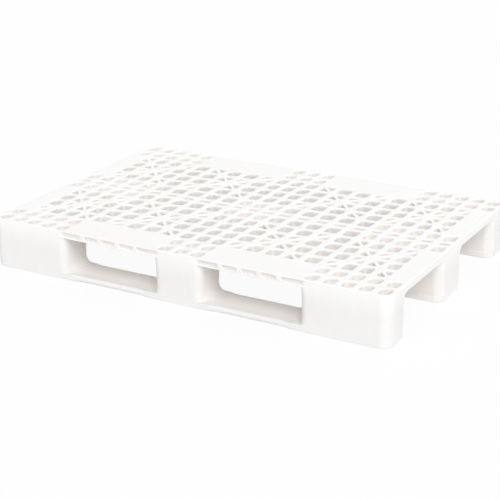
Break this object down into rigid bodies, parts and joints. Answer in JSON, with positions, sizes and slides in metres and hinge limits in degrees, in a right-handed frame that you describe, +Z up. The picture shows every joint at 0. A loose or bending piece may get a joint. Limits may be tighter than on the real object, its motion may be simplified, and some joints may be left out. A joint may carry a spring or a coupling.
{
  "type": "plastic pallet",
  "caption": "Open-deck plastic pallet on three runners with hollow feet, for lifting by forks from all four sides.",
  "frame": {"origin": "centre of the pallet's plan, on the floor that the runners rest on", "axes": "+X along the runners (length), +Y across them towards the rear side, +Z up out of the deck"},
  "size_m": [1.2, 0.8, 0.14],
  "materials": {
    "deck_plastic": "moulded, fine satin",
    "foot_plastic": "moulded, fine satin",
    "runner_plastic": "moulded, fine satin",
    "screw_steel": "zinc plated"
  },
  "bodies": {
    "root": {"deck": "deck_plastic", "foot_front_left": "foot_plastic", "foot_front_centre": "foot_plastic", "foot_front_right": "foot_plastic", "foot_middle_left": "foot_plastic", "foot_middle_centre": "foot_plastic", "foot_middle_right": "foot_plastic", "foot_rear_left": "foot_plastic", "foot_rear_centre": "foot_plastic", "foot_rear_right": "foot_plastic", "runner_front": "runner_plastic", "runner_middle": "runner_plastic", "runner_rear": "runner_plastic", "deck_screws_front_left": "screw_steel", "deck_screws_front_centre": "screw_steel", "deck_screws_front_right": "screw_steel", "deck_screws_middle_left": "screw_steel", "deck_screws_middle_centre": "screw_steel", "deck_screws_middle_right": "screw_steel", "deck_screws_rear_left": "screw_steel", "deck_screws_rear_centre": "screw_steel", "deck_screws_rear_right": "screw_steel", "runner_screws_front_left": "screw_steel", "runner_screws_front_centre": "screw_steel", "runner_screws_front_right": "screw_steel", "runner_screws_middle_left": "screw_steel", "runner_screws_middle_centre": "screw_steel", "runner_screws_middle_right": "screw_steel", "runner_screws_rear_left": "screw_steel", "runner_screws_rear_centre": "screw_steel", "runner_screws_rear_right": "screw_steel"}
  },
  "joints": []
}
